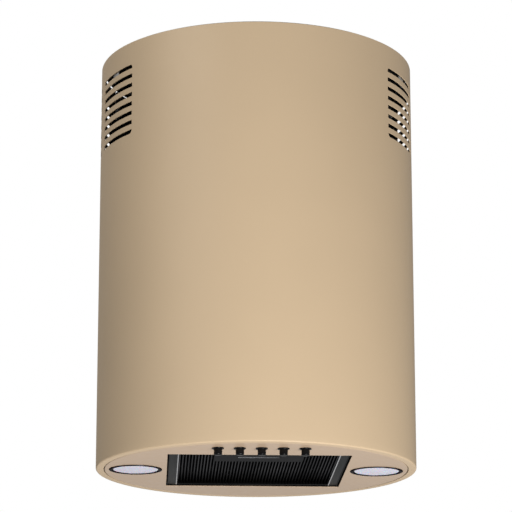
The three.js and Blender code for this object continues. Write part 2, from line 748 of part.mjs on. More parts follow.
// The squirrel-cage wheel: a hub and disc, two end rings and slanted blades between them.
function impeller() {
  const innerRadius = FAN_RADIUS - 12;
  const hub = laidAlongX(turnedRing([
    [SHAFT_RADIUS + GAP, -10],
    [11, -10],
    [11, -1.2],
    [FAN_RADIUS, -1.2],
    [FAN_RADIUS, 1.2],
    [11, 1.2],
    [11, 10],
    [SHAFT_RADIUS + GAP, 10],
  ], FAN_BLADES), 0, 0);
  const pieces = [hub];
  for (const side of [-1, 1]) {
    const [near, far] = [side * (FAN_HALF_LENGTH - 2), side * FAN_HALF_LENGTH];
    const profile = [[innerRadius, near], [FAN_RADIUS, near], [FAN_RADIUS, far], [innerRadius, far]];
    pieces.push(laidAlongX(turnedRing(profile, FAN_BLADES), 0, 0));
  }
  for (let i = 0; i < FAN_BLADES; i += 1) {
    const blade = new THREE.BoxGeometry(2 * FAN_HALF_LENGTH - 2, 10, 1.2);
    blade.rotateX(THREE.MathUtils.degToRad(30)).translate(0, FAN_RADIUS - 6.2, 0);
    blade.rotateX(((i + 0.5) / FAN_BLADES) * 2 * Math.PI);
    pieces.push(solidOf(blade));
  }
  return joined(pieces);
}

place('impeller', impeller(), blackMoulding).position.set(0, FAN_Y, FAN_Z);

function motorBody() {
  const [outer, inner] = [-92, -14];
  const can = laidAlongX(turned([
    [0, outer],
    [MOTOR_RADIUS - 6, outer],
    [MOTOR_RADIUS, outer + 6],
    [MOTOR_RADIUS, inner - 4],
    [MOTOR_RADIUS - 8, inner],
    [0, inner],
  ], 24), FAN_Y, FAN_Z);
  return can.subtract(rodAlongX(SHAFT_RADIUS + 0.4, -42, 0, FAN_Y, FAN_Z, 12));
}

place('motor_body', motorBody(), castAluminium);
place('motor_shaft', rodAlongX(SHAFT_RADIUS, -40, 14, FAN_Y, FAN_Z, 12), steelShaft);

// The three-armed bracket that carries the motor in the left inlet.
function motorBracket() {
  const [outer, inner] = [-76, -73.5];
  const [bore, ring, reach] = [MOTOR_RADIUS + 0.4, MOTOR_RADIUS + 6, 82];
  const band = [[bore, outer], [ring, outer], [ring, inner], [bore, inner]];
  const pieces = [laidAlongX(turnedRing(band, 24), 0, 0)];
  for (let i = 0; i < 3; i += 1) {
    const turn = THREE.MathUtils.degToRad(90 + 120 * i);
    const arm = new THREE.BoxGeometry(inner - outer, reach - ring + 2, 9);
    arm.translate((outer + inner) / 2, (reach + ring - 2) / 2, 0).rotateX(turn);
    const foot = new THREE.BoxGeometry(-SCROLL_HALF_WIDTH - GAP - outer, 4, 9);
    foot.translate((outer - SCROLL_HALF_WIDTH - GAP) / 2, reach - 2, 0).rotateX(turn);
    pieces.push(solidOf(arm), solidOf(foot));
  }
  return joined(pieces);
}

place('motor_bracket', motorBracket(), galvanised).position.set(0, FAN_Y, FAN_Z);

// ---------------------------------------------------------------- outlet and non-return flaps

const NECK_RADIUS = 72;
const NECK_TOP = -128;
const MOUTH_Y = (MOUTH_FRONT + MOUTH_BACK - SCROLL_WALL) / 2;
const MOUTH_HALF_DEPTH = (MOUTH_BACK - SCROLL_WALL - MOUTH_FRONT) / 2;

// A closed tapering plug from an oblong foot to a round top, from one cylinder with its foot reshaped.
function oblongToRound(halfX, halfY, radius, low, high) {
  const geometry = new THREE.CylinderGeometry(radius, radius, high - low, 32);
  geometry.rotateX(Math.PI / 2).translate(0, 0, (low + high) / 2);
  const position = geometry.attributes.position;
  for (let i = 0; i < position.count; i += 1) {
    const [x, y, z] = [position.getX(i), position.getY(i), position.getZ(i)];
    if (z < (low + high) / 2) {
      const stretch = Math.min(halfX / Math.max(Math.abs(x), 1e-6), halfY / Math.max(Math.abs(y), 1e-6));
      const onAxis = Math.hypot(x, y) < 1e-3;
      position.setXYZ(i, onAxis ? 0 : x * stretch, MOUTH_Y + (onAxis ? 0 : y * stretch), z);
    }
  }
  return solidOf(geometry);
}

// The hopper from the blower's oblong mouth to the round duct collar.
function outletAdapter() {
  const low = BOX_TOP + GAP;
  const [halfX, halfY] = [MOUTH_HALF_WIDTH, MOUTH_HALF_DEPTH];
  const flange = block(-halfX - 9, halfX + 9, MOUTH_Y - halfY - 9, MOUTH_Y + halfY + 9, low, low + 2);
  const skin = oblongToRound(halfX + 2, halfY + 2, NECK_RADIUS, low, -140);
  const neck = rod(NECK_RADIUS, -140.5, NECK_TOP, 0, 0, 32);
  const room = oblongToRound(halfX, halfY, NECK_RADIUS - 2, low - 0.5, -140);
  const bore = rod(NECK_RADIUS - 2, -141, NECK_TOP + 1, 0, 0, 32);
  return cut(joined([flange, skin, neck]), [room, bore]);
}

place('outlet_adapter', outletAdapter(), blackMoulding);

const FLAP_LOW = -125.6;
const FLAP_THICKNESS = 1;

// The round collar that takes the duct, with a ledge and a cross rib that the flaps close on.
function outletCollar() {
  const inside = COLLAR_RADIUS - 2.4;
  const ledgeLow = NECK_TOP + GAP;
  const wall = solidOf(turnedRing([
    [inside, -138],
    [COLLAR_RADIUS, -138],
    [COLLAR_RADIUS, COLLAR_TOP],
    [inside, COLLAR_TOP],
    [inside, FLAP_LOW - 0.4],
    [inside - 3, FLAP_LOW - 0.4],
    [inside - 3, ledgeLow],
    [inside, ledgeLow],
  ], 32));
  const rib = block(2 - inside, inside - 2, -3, 3, ledgeLow, FLAP_LOW - 0.4);
  return wall.add(rib).subtract(rodAlongX(PIN_RADIUS + 0.3, -90, 90, 0, PIN_Z, 12));
}

place('outlet_collar', outletCollar(), blackMoulding);
place('damper_pin', rodAlongX(PIN_RADIUS, 0.3 - COLLAR_RADIUS, COLLAR_RADIUS - 0.3, 0, PIN_Z, 12), steelShaft);

// One half-round flap with two knuckles on the pin; the other flap's knuckles lie between them.
function damperFlap(side) {
  const [radius, straight] = [71.4, 3.5];
  const half = new THREE.Shape();
  const reach = Math.acos(straight / radius);
  half.absarc(0, 0, radius, (side * Math.PI) / 2 - reach, (side * Math.PI) / 2 + reach, false);
  const plate = new THREE.ExtrudeGeometry(half, { depth: FLAP_THICKNESS, bevelEnabled: false, curveSegments: 18 });
  const pieces = [solidOf(plate.translate(0, 0, FLAP_LOW))];
  for (const middle of [-44 * side, 20 * side]) {
    const [x0, x1] = [middle - 9, middle + 9];
    const ends = [0, side * (straight + 1)].sort((a, b) => a - b);
    pieces.push(block(x0, x1, ...ends, FLAP_LOW, FLAP_LOW + FLAP_THICKNESS));
    pieces.push(rodAlongX(3, x0, x1, 0, PIN_Z, 12));
  }
  const pinHole = rodAlongX(PIN_RADIUS + 0.3, -90, 90, 0, PIN_Z, 12);
  return joined(pieces).subtract(pinHole);
}

place('damper_flap_front', damperFlap(-1), blackMoulding);
place('damper_flap_back', damperFlap(1), blackMoulding);

// ---------------------------------------------------------------- electrical parts

const CONTROL = { halfX: 60, front: -165, back: -117.6, low: -440, high: -370, wall: 1.5 };
const GLAND = [30, -141];

function controlBox() {
  const { halfX, front, back, low, high, wall } = CONTROL;
  const body = block(-halfX, halfX, front, back, low, high);
  const room = block(-halfX + wall, halfX - wall, front - 1, back - wall, low + wall, high - wall);
  return cut(body, [room, rod(6.3, high - 5, high + 5, ...GLAND, 16)]);
}

function controlBoxLid() {
  const { halfX, front, low, high } = CONTROL;
  return block(-halfX, halfX, front - GAP - 1.5, front - GAP, low, high);
}

function capacitor() {
  const foot = CONTROL.low + CONTROL.wall + GAP;
  return rod(15, foot, foot + 52, -36, -141, 20);
}

function terminalBlock() {
  const foot = CONTROL.low + CONTROL.wall + GAP;
  const body = block(-4, 52, -150, -132, foot, foot + 15);
  const wireHoles = [2, 13, 24, 35, 46].map((x) => block(x - 3, x + 3, -151, -145, foot + 4, foot + 10));
  return cut(body, wireHoles);
}

// The gland in the control box's top, where the supply cable goes in.
function cableGland() {
  const top = CONTROL.high;
  return solidOf(turnedRing([
    [3.8, top - 8],
    [5.9, top - 8],
    [5.9, top + GAP],
    [10, top + GAP],
    [10, top + 6],
    [8, top + 6],
    [7, top + 14],
    [3.8, top + 14],
  ], 16).translate(...GLAND, 0));
}

function ledDriver() {
  const body = block(-35, 35, BOX_BACK + GAP, BOX_BACK + 25, -440, -400);
  const ears = block(-45, 45, BOX_BACK + GAP, BOX_BACK + 2.5, -428, -412);
  return body.add(ears);
}

place('control_box', controlBox(), galvanised);
place('control_box_lid', controlBoxLid(), galvanised);
place('capacitor', capacitor(), greyPlastic);
place('terminal_block', terminalBlock(), greenPlastic);
place('cable_gland', cableGland(), blackRubber);
place('led_driver', ledDriver(), greyPlastic);

export default hood;
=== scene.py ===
import json
import math

import bmesh
import bpy
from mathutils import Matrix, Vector
from mathutils.geometry import tessellate_polygon


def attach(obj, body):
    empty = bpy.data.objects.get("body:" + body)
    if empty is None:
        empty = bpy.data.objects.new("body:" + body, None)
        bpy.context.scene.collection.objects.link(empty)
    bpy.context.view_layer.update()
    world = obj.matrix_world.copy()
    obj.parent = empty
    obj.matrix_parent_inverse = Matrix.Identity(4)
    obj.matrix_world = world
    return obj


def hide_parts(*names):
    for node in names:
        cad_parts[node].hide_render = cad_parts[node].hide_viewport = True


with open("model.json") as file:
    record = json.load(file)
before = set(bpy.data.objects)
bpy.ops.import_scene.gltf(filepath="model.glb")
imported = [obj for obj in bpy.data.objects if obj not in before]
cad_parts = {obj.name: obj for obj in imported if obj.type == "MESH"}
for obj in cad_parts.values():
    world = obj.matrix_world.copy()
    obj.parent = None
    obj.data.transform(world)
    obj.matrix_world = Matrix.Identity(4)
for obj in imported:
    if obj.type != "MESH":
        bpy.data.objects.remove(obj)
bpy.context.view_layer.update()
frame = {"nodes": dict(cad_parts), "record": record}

MM = 0.001

# ------------------------------------------------------------------ dimensions, as in the CAD

TUBE_RADIUS = 195.0
TUBE_WALL = 1.2
TUBE_TOP = -1.0
BOTTOM = -510.0
FOLD = 2.0  # radius of the fold at the tube's foot
LIP_RADIUS = 185.4
PANEL_RADIUS = 184.4
PANEL_RIM = 12.0
SHEET = 1.2

VENT_COUNT = 8
VENT_TOP = -32.0
VENT_PITCH = 11.9
VENT_HEIGHT = 5.3
VENT_START = 53.2
VENT_END = 108.0
VENT_BAR = (77.2, 83.8)
VENT_CORNER = 4.6

OPENING = (-108.7, 108.7, -108.0, 114.5)
FILTER = (-107.1, 107.1, -107.2, 113.7)
FILTER_FACE = BOTTOM + 1.6
FILTER_TOP = FILTER_FACE + 9
SIDE_STRIP = 12.0
END_STRIP = 6.0
RIB_PITCH = 3.75
MESH_LOW = FILTER_FACE + 1.1
MESH_WAVE = 2.4
MESH_SHEET = 0.6
PACK = (-105.3, 105.3, -105.4, 111.9)
HANDLE = (-53.5, 53.5, -100.9, -54.5)
HANDLE_TOP = FILTER_FACE + 8
FINGER_SLOT = (-25.5, 25.5, -87.0, -79.4)

BUTTON_Y = -152.5
BUTTON_X = [-50.8, -25.4, 0.0, 25.4, 50.8]
LAMP_X = 146.6
LAMP_Y = -5.0
LAMP_HOLE = 29.3
BUTTON_HOLE = 6.3

PLATE_RADIUS = 193.2
PLATE_LOW = -2.0
SEAM_SPAN = (236, 276)  # whole degrees from the front
SEAM_RELIEF = 1.9
STUD_CIRCLE = 140
STUD_ANGLES = (45, 135, 225, 315)
SCREW_CIRCLE = 176
SCREW_ANGLES = (66, 114, 246, 294)
DUCT_HOLE_RADIUS = 84.0
GROMMET = (62.0, -128.0)
GLAND = (30.0, -141.0)
CAPACITOR = (-36, -141)
CONTROL_LOW = -440.0
CONTROL_HIGH = -370.0
FAN_Y = -10.0
FAN_Z = -310.0

SIDES = (("left", -1), ("right", 1))


# ------------------------------------------------------------------ outlines and profiles

def on_circle(radius, degrees_from_front):
    angle = math.radians(degrees_from_front)
    return radius * math.sin(angle), -radius * math.cos(angle)


def circle(x, y, radius, count):
    """A loop function: grow makes the loop larger."""
    def loop(grow=0.0):
        return [
            (x + (radius + grow) * math.cos(2 * math.pi * k / count),
             y + (radius + grow) * math.sin(2 * math.pi * k / count))
            for k in range(count)
        ]
    return loop


def rounded_rect(box, radius, turn=0.0, centre=(0.0, 0.0), steps=5):
    x0, x1, y0, y1 = box

    def loop(grow=0.0):
        r = max(radius + grow, 0.05)
        points = []
        corners = [(x1, y0, 270), (x1, y1, 0), (x0, y1, 90), (x0, y0, 180)]
        for cx, cy, start in corners:
            sx = 1 if cx == x1 else -1
            sy = 1 if cy == y1 else -1
            ox, oy = cx + sx * (grow - r), cy + sy * (grow - r)
            for k in range(steps + 1):
                a = math.radians(start + 90 * k / steps)
                points.append((ox + r * math.cos(a), oy + r * math.sin(a)))
        c, s = math.cos(turn), math.sin(turn)
        return [(centre[0] + c * x - s * y, centre[1] + s * x + c * y) for x, y in points]
    return loop


def edge_chain(low, high, ease, outward):
    """(grow, z) steps from the lower face to the upper one, with both edges eased."""
    steps = 3
    sign = -1 if outward else 1
    chain = []
    for k in range(steps + 1):
        a = math.radians(90 * k / steps)
        chain.append((sign * ease * (1 - math.sin(a)), low + ease * (1 - math.cos(a))))
    for k in range(steps + 1):
        a = math.radians(90 * k / steps)
        chain.append((sign * ease * (1 - math.cos(a)), high - ease * (1 - math.sin(a))))
    return chain


def eased(points, radius):
    """A closed (radius, height) profile with its corners rounded; those on the axis stay."""
    steps = 4
    out = []
    count = len(points)
    for i, p in enumerate(points):
        corner = Vector(p[:2])
        own = p[2] if len(p) > 2 else radius
        if corner.x < 1e-6 or own <= 0:
            out.append(tuple(corner))
            continue
        before = Vector(points[i - 1][:2]) - corner
        after = Vector(points[(i + 1) % count][:2]) - corner
        cut = min(own, 0.48 * before.length, 0.48 * after.length)
        a = corner + before.normalized() * cut
        b = corner + after.normalized() * cut
        for k in range(steps + 1):
            t = k / steps
            out.append(tuple(a * (1 - t) ** 2 + corner * 2 * t * (1 - t) + b * t ** 2))
    return out


# ------------------------------------------------------------------ mesh building

class Shell:
    """A closed mesh in the making, from loops, strips between them and flat caps."""

    def __init__(self):
        self.bm = bmesh.new()

    def loop(self, points, z):
        return [self.bm.verts.new((x * MM, y * MM, z * MM)) for x, y in points]

    def face(self, verts, mat=0, smooth=True):
        unique = [v for i, v in enumerate(verts) if v not in verts[:i]]
        if len(unique) < 3:
            return
        made = self.bm.faces.new(unique)
        made.material_index = mat
        made.smooth = smooth

    def strip(self, a, b):
        for k in range(len(a)):
            m = (k + 1) % len(a)
            self.face([a[k], a[m], b[m], b[k]])

    def stack(self, loops):
        for a, b in zip(loops, loops[1:]):
            self.strip(a, b)

    def cap(self, loops):
        flat = [v for loop in loops for v in loop]
        for tri in tessellate_polygon([[v.co for v in loop] for loop in loops]):
            self.face([flat[i] for i in tri], smooth=False)

    def plate(self, outer, outer_chain, holes=()):
        """A flat sheet: outer and holes are loop functions, each with its own (grow, z) chain."""
        edges = [(outer, outer_chain), *holes]
        stacks = [[self.loop(f(grow), z) for grow, z in chain] for f, chain in edges]
        for loops in stacks:
            self.stack(loops)
        self.cap([loops[0] for loops in stacks])
        self.cap([loops[-1] for loops in stacks])

    def revolve(self, profile, count, place):
        """Turns a closed (radius, height) profile about Z; place maps it into the part's frame."""
        rings = []
        for radius, height in profile:
            if radius < 1e-6:
                v = self.bm.verts.new(Vector(place(0, 0, height)) * MM)
                rings.append([v] * count)
            else:
                rings.append([
                    self.bm.verts.new(Vector(place(
                        radius * math.cos(2 * math.pi * k / count),
                        radius * math.sin(2 * math.pi * k / count), height)) * MM)
                    for k in range(count)
                ])
        for i, ring in enumerate(rings):
            other = rings[(i + 1) % len(rings)]
            if ring[0] is ring[-1] and other[0] is other[-1]:
                continue
            self.strip(ring, other)

    def block(self, x0, x1, y0, y1, z0, z1, ease):
        self.plate(rounded_rect((x0, x1, y0, y1), ease * 1.2, steps=3),
                   edge_chain(z0, z1, ease, True))

    def slab(self, xs, ys, present):
        """A sheet over a grid of (x, low, high) stations; present(i, j) says which cells exist."""
        low, high = {}, {}

        def vert(store, i, j, z):
            if (i, j) not in store:
                store[i, j] = self.bm.verts.new((xs[i][0] * MM, ys[j] * MM, z * MM))
            return store[i, j]

        def cell(i, j):
            return 0 <= i < len(xs) - 1 and 0 <= j < len(ys) - 1 and present(i, j)

        for i in range(len(xs) - 1):
            for j in range(len(ys) - 1):
                if not cell(i, j):
                    continue
                ring = [(i, j), (i + 1, j), (i + 1, j + 1), (i, j + 1)]
                below = [vert(low, *c, xs[c[0]][1]) for c in ring]
                above = [vert(high, *c, xs[c[0]][2]) for c in ring]
                self.face(below)
                self.face(above)
                beside = [(i, j - 1), (i + 1, j), (i, j + 1), (i - 1, j)]
                for k, neighbour in enumerate(beside):
                    if not cell(*neighbour):
                        m = (k + 1) % 4
                        self.face([below[k], below[m], above[m], above[k]])

    def done(self, name, body, materials, replaces=(), sharp=40):
        bmesh.ops.recalc_face_normals(self.bm, faces=self.bm.faces)
        mesh = bpy.data.meshes.new(name)
        self.bm.to_mesh(mesh)
        self.bm.free()
        smooth = [face.use_smooth for face in mesh.polygons]
        mesh.set_sharp_from_angle(angle=math.radians(sharp))
        mesh.polygons.foreach_set("use_smooth", smooth)
        for material in materials:
            mesh.materials.append(material)
        piece = bpy.data.objects.new(name, mesh)
        bpy.context.scene.collection.objects.link(piece)
        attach(piece, body)
        if replaces:
            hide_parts(*replaces)
        return piece


def bevel(piece, width, segments=2, angle=50):
    modifier = piece.modifiers.new("eased_edges", "BEVEL")
    modifier.width = width * MM
    modifier.segments = segments
    modifier.limit_method = "ANGLE"
    modifier.angle_limit = math.radians(angle)
    modifier.harden_normals = True
    return piece


# ------------------------------------------------------------------ materials

class Finish:
    """A procedural material: helpers that add nodes to one Principled shader."""

    def __init__(self, name):
        self.material = bpy.data.materials.new(name)
        self.material.use_nodes = True
        self.tree = self.material.node_tree
        self.shader = self.tree.nodes["Principled BSDF"]
        self.place = self.tree.nodes.new("ShaderNodeTexCoord").outputs["Object"]
        self.relief = None

    def node(self, kind, **settings):
        made = self.tree.nodes.new(kind)
        for key, value in settings.items():
            setattr(made, key, value)
        return made

    def link(self, a, b):
        self.tree.links.new(a, b)

    def set(self, **values):
        for key, value in values.items():
            socket = self.shader.inputs[key.replace("_", " ")]
            socket.default_value = (*value, 1.0) if isinstance(value, tuple) else value
        return self

    def noise(self, per_metre, detail=3.0, rough=0.5, stretch=(1, 1, 1), offset=0.0):
        mapping = self.node("ShaderNodeMapping")
        mapping.inputs["Scale"].default_value = stretch
        mapping.inputs["Location"].default_value = (offset, offset * 0.7, offset * 1.3)
        self.link(self.place, mapping.inputs["Vector"])
        made = self.node("ShaderNodeTexNoise")
        made.inputs["Scale"].default_value = per_metre
        made.inputs["Detail"].default_value = detail
        made.inputs["Roughness"].default_value = rough
        self.link(mapping.outputs["Vector"], made.inputs["Vector"])
        return made.outputs["Fac"]

    def cell_colour(self, per_metre):
        made = self.node("ShaderNodeTexVoronoi", feature="F1")
        made.inputs["Scale"].default_value = per_metre
        made.inputs["Randomness"].default_value = 1.0
        self.link(self.place, made.inputs["Vector"])
        return made.outputs["Color"]

    def spread(self, value, low, high, from_low=0.3, from_high=0.7):
        made = self.node("ShaderNodeMapRange")
        made.inputs["From Min"].default_value = from_low
        made.inputs["From Max"].default_value = from_high
        made.inputs["To Min"].default_value = low
        made.inputs["To Max"].default_value = high
        self.link(value, made.inputs["Value"])
        return made.outputs["Result"]

    def times(self, a, b):
        made = self.node("ShaderNodeMath", operation="MULTIPLY")
        self.link(a, made.inputs[0])
        self.link(b, made.inputs[1])
        return made.outputs[0]

    def mix(self, share, a, b):
        made = self.node("ShaderNodeMix", data_type="RGBA")
        self.link(share, made.inputs[0])
        for socket, value in ((made.inputs[6], a), (made.inputs[7], b)):
            if isinstance(value, tuple):
                socket.default_value = (*value, 1.0)
            else:
                self.link(value, socket)
        return made.outputs[2]

    def colour(self, value):
        self.link(value, self.shader.inputs["Base Color"])
        return self

    def roughness(self, value):
        self.link(value, self.shader.inputs["Roughness"])
        return self

    def bump(self, height, depth):
        """Relief of so many millimetres; each call adds to the last."""
        made = self.node("ShaderNodeBump")
        made.inputs["Strength"].default_value = 1.0
        made.inputs["Distance"].default_value = depth * MM
        self.link(height, made.inputs["Height"])
        if self.relief is not None:
            self.link(self.relief, made.inputs["Normal"])
        self.relief = made.outputs["Normal"]
        self.link(self.relief, self.shader.inputs["Normal"])
        return self


def shade(colour, factor):
    return tuple(min(c * factor, 1.0) for c in colour)


def powder_coat(name, colour, rough, peel, sheen=0.3):
    f = Finish(name).set(Metallic=0.0, IOR=1.45, Specular_IOR_Level=sheen)
    tint = f.spread(f.noise(6, 2), 0.0, 1.0)
    base = f.mix(tint, shade(colour, 0.975), shade(colour, 1.02))
    specks = f.spread(f.noise(2600, 2, 0.6), 0.0, 1.0, 0.56, 0.74)
    f.colour(f.mix(specks, base, shade(colour, 1.1)))
    f.roughness(f.spread(f.noise(90, 3), rough - 0.04, rough + 0.05))
    f.bump(f.noise(650, 2, 0.45), peel)
    f.bump(f.noise(3200, 2, 0.5), peel * 0.25)
    return f.material


def zinc_sheet(name, colour):
    f = Finish(name).set(Metallic=1.0)
    grey = f.spread(f.cell_colour(260), 0.0, 1.0, 0.0, 1.0)
    f.colour(f.mix(grey, shade(colour, 0.8), shade(colour, 1.1)))
    f.roughness(f.spread(f.noise(140, 4), 0.3, 0.46))
    f.bump(f.noise(900, 3), 0.01)
    return f.material


def anodised(name, colour, rough=(0.3, 0.42), along=(60, 1, 60), edge=1.0):
    f = Finish(name).set(Metallic=1.0, Specular_Tint=(edge, edge, edge))
    lines = f.noise(26, 4, 0.6, stretch=along)
    f.colour(f.mix(f.spread(lines, 0.0, 1.0), shade(colour, 0.86), shade(colour, 1.12)))
    f.roughness(f.spread(f.noise(40, 4, 0.6, stretch=along, offset=3.0), *rough))
    f.bump(lines, 0.006)
    return f.material


def moulded(name, colour, rough, grain_scale=1500, grain=0.012, lift=1.6, sheen=0.5):
    f = Finish(name).set(Metallic=0.0, IOR=1.49, Specular_IOR_Level=sheen)
    cloud = f.spread(f.noise(70, 3), 0.0, 1.0)
    f.colour(f.mix(cloud, colour, shade(colour, lift)))
    f.roughness(f.spread(f.noise(220, 3), rough - 0.05, rough + 0.08))
    f.bump(f.noise(grain_scale, 2, 0.5), grain)
    return f.material


def ribs_with_painted_shade(name, colour):
    """Anodised pleats with painted shade: bright on the crests, painted black in the folds and
    towards the far end.
    """
    f = Finish(name).set(Metallic=1.0, Specular_Tint=(0.12, 0.12, 0.12))
    split = f.node("ShaderNodeSeparateXYZ")
    f.link(f.place, split.inputs["Vector"])
    lines = f.noise(26, 4, 0.6, stretch=(1, 0.02, 1))
    # Painted shade: a height mask blacks out the folds, and a Y mask blacks out the far end.
    fold_painted_shade = f.spread(split.outputs["Z"], 1.0, 0.0, (MESH_LOW + 0.03) * MM, (MESH_LOW + 0.7) * MM)
    near = f.spread(split.outputs["Y"], 1.0, 0.06, 0.01, 0.085)
    unshaded_share = f.times(f.times(fold_painted_shade, near), f.spread(lines, 0.75, 1.0))
    f.colour(f.mix(unshaded_share, shade(colour, 0.03), colour))
    f.roughness(f.spread(f.noise(40, 4, 0.6, stretch=(1, 0.02, 1), offset=3.0), 0.3, 0.45))
    f.bump(lines, 0.004)
    return f.material


def bright_metal(name, colour, rough, smear=0.05, edge=1.0):
    f = Finish(name).set(Metallic=1.0, Specular_Tint=(edge, edge, edge))
    f.colour(f.mix(f.spread(f.noise(30, 3), 0.0, 1.0), shade(colour, 0.94), colour))
    f.roughness(f.spread(f.noise(60, 4), rough, rough + smear))
    f.bump(f.noise(400, 2), 0.0015)
    return f.material


def cast_metal(name, colour):
    f = Finish(name).set(Metallic=1.0)
    f.colour(f.mix(f.spread(f.noise(240, 4), 0.0, 1.0), shade(colour, 0.82), shade(colour, 1.1)))
    f.roughness(f.spread(f.noise(300, 3), 0.45, 0.62))
    f.bump(f.noise(850, 4, 0.6), 0.05)
    return f.material


def frosted(name, colour):
    f = Finish(name).set(Metallic=0.0, IOR=1.49, Subsurface_Weight=0.15, Subsurface_Scale=0.002)
    f.colour(f.mix(f.spread(f.noise(45, 3), 0.0, 1.0), shade(colour, 0.965), shade(colour, 1.02)))
    f.roughness(f.spread(f.noise(500, 3), 0.34, 0.46))
    f.bump(f.noise(1800, 3, 0.6), 0.012)
    return f.material


def rubber(name):
    f = Finish(name).set(Metallic=0.0, IOR=1.5)
    cloud = f.spread(f.noise(160, 4), 0.0, 1.0)
    f.colour(f.mix(cloud, (0.008, 0.008, 0.008), (0.02, 0.019, 0.018)))
    f.roughness(f.spread(f.noise(260, 3), 0.68, 0.85))
    f.bump(f.noise(1400, 3), 0.03)
    return f.material


def floor_finish(name):
    f = Finish(name).set(Metallic=0.0)
    f.colour(f.mix(f.spread(f.noise(0.8, 4), 0.0, 1.0), (0.79, 0.78, 0.77), (0.83, 0.825, 0.82)))
    f.roughness(f.spread(f.noise(3, 4), 0.6, 0.75))
    f.bump(f.noise(40, 3), 0.2)
    return f.material


BEIGE = (0.60, 0.459, 0.302)
beige = powder_coat("beige_powder_coat", BEIGE, 0.42, 0.028)
# Painted shade: the underside panel uses a darker, glossier copy of the tube's beige.
panel_beige_painted_shade = powder_coat("panel_coat_painted_shade", (0.53, 0.395, 0.277), 0.36, 0.02, 0.55)
# Painted shade: the tube's inside faces get a near-black coat that stands for the shade inside the
# tube.
inside_wall_painted_shade = powder_coat("tube_inside_painted_shade", (0.012, 0.011, 0.010), 0.7, 0.02)
black_coat = powder_coat("black_powder_coat", (0.012, 0.012, 0.013), 0.58, 0.03)
zinc = zinc_sheet("galvanised_sheet", (0.74, 0.75, 0.76))
screw_zinc = bright_metal("bright_zinc", (0.62, 0.63, 0.64), 0.22, 0.1)
anthracite = anodised("anthracite_anodised", (0.17, 0.177, 0.18), edge=0.35)
handle_metal = anodised("handle_anodised", (0.11, 0.112, 0.117), edge=0.3)
# The filter ribs carry painted shade in their folds and towards the far end.
rib_metal = ribs_with_painted_shade("rib_aluminium_painted_shade", (0.34, 0.345, 0.36))
# Painted shade: the filter's end strips use a near-black copy of the side strips' anodising.
end_strip_painted_shade = anodised("end_anodised_painted_shade", (0.010, 0.010, 0.0105), rough=(0.4, 0.5), edge=0.1)
bare_edge = anodised("bare_edge_aluminium", (0.82, 0.83, 0.85), rough=(0.26, 0.36),
                     along=(1, 0.05, 1))
pale_metal = anodised("expanded_aluminium", (0.42, 0.43, 0.44), rough=(0.4, 0.6))
gloss_black = moulded("semi_gloss_black", (0.003, 0.003, 0.0035), 0.2, 2200, 0.003, sheen=0.18)
matt_black = moulded("matt_black_moulding", (0.012, 0.0125, 0.014), 0.52)
# Painted reflection: the chrome ring's base colour is near black, standing in for the dark room it
# reflects.
dark_reflection_chrome = bright_metal("chrome_ring", (0.10, 0.09, 0.105), 0.04, edge=0.25)
lens = frosted("frosted_lens", (0.70, 0.70, 0.82))
cast = cast_metal("cast_aluminium", (0.36, 0.37, 0.39))
shaft_steel = bright_metal("ground_steel", (0.45, 0.46, 0.47), 0.18, 0.12)
grey_case = moulded("grey_moulding", (0.24, 0.25, 0.265), 0.5, 1300, 0.02, 1.12)
green_case = moulded("green_moulding", (0.045, 0.14, 0.08), 0.45, 1300, 0.02, 1.2)
black_rubber = rubber("black_rubber")


# ------------------------------------------------------------------ outer tube

def tube_columns():
    """Azimuths round the tube, counted from the front, with each slot group's ends and corners."""
    per_mm = 360 / (2 * math.pi * TUBE_RADIUS)
    rounding = [VENT_CORNER * (1 - math.cos(math.radians(t))) for t in (0, 30, 50, 70, 90)]
    start = [VENT_START + d * per_mm for d in rounding]
    end = [VENT_END - d * per_mm for d in reversed(rounding)]
    near = [start[-1] + (VENT_BAR[0] - start[-1]) * k / 18 for k in range(1, 19)]
    bar = [VENT_BAR[0] + (VENT_BAR[1] - VENT_BAR[0]) * k / 5 for k in range(1, 6)]
    far = [VENT_BAR[1] + (end[0] - VENT_BAR[1]) * k / 18 for k in range(1, 18)]
    right = start + near + bar + far + end
    front = [-VENT_START + 2 * VENT_START * k / 84 for k in range(1, 84)]
    back = [VENT_END + (360 - 2 * VENT_END) * k / 116 for k in range(1, 116)]
    left = [-a for a in reversed(right)]
    return left + front + right + back


def corner_drop(azimuth):
    """How far a rounded corner pulls in the outline at this azimuth, in millimetres."""
    side = abs(azimuth if azimuth <= 180 else azimuth - 360)
    along = min(side - VENT_START, VENT_END - side) * math.radians(1) * TUBE_RADIUS
    if along < -1e-6 or along > VENT_CORNER:
        return 0.0
    short = VENT_CORNER - max(along, 0.0)
    return VENT_CORNER - math.sqrt(max(VENT_CORNER ** 2 - short ** 2, 0.0))


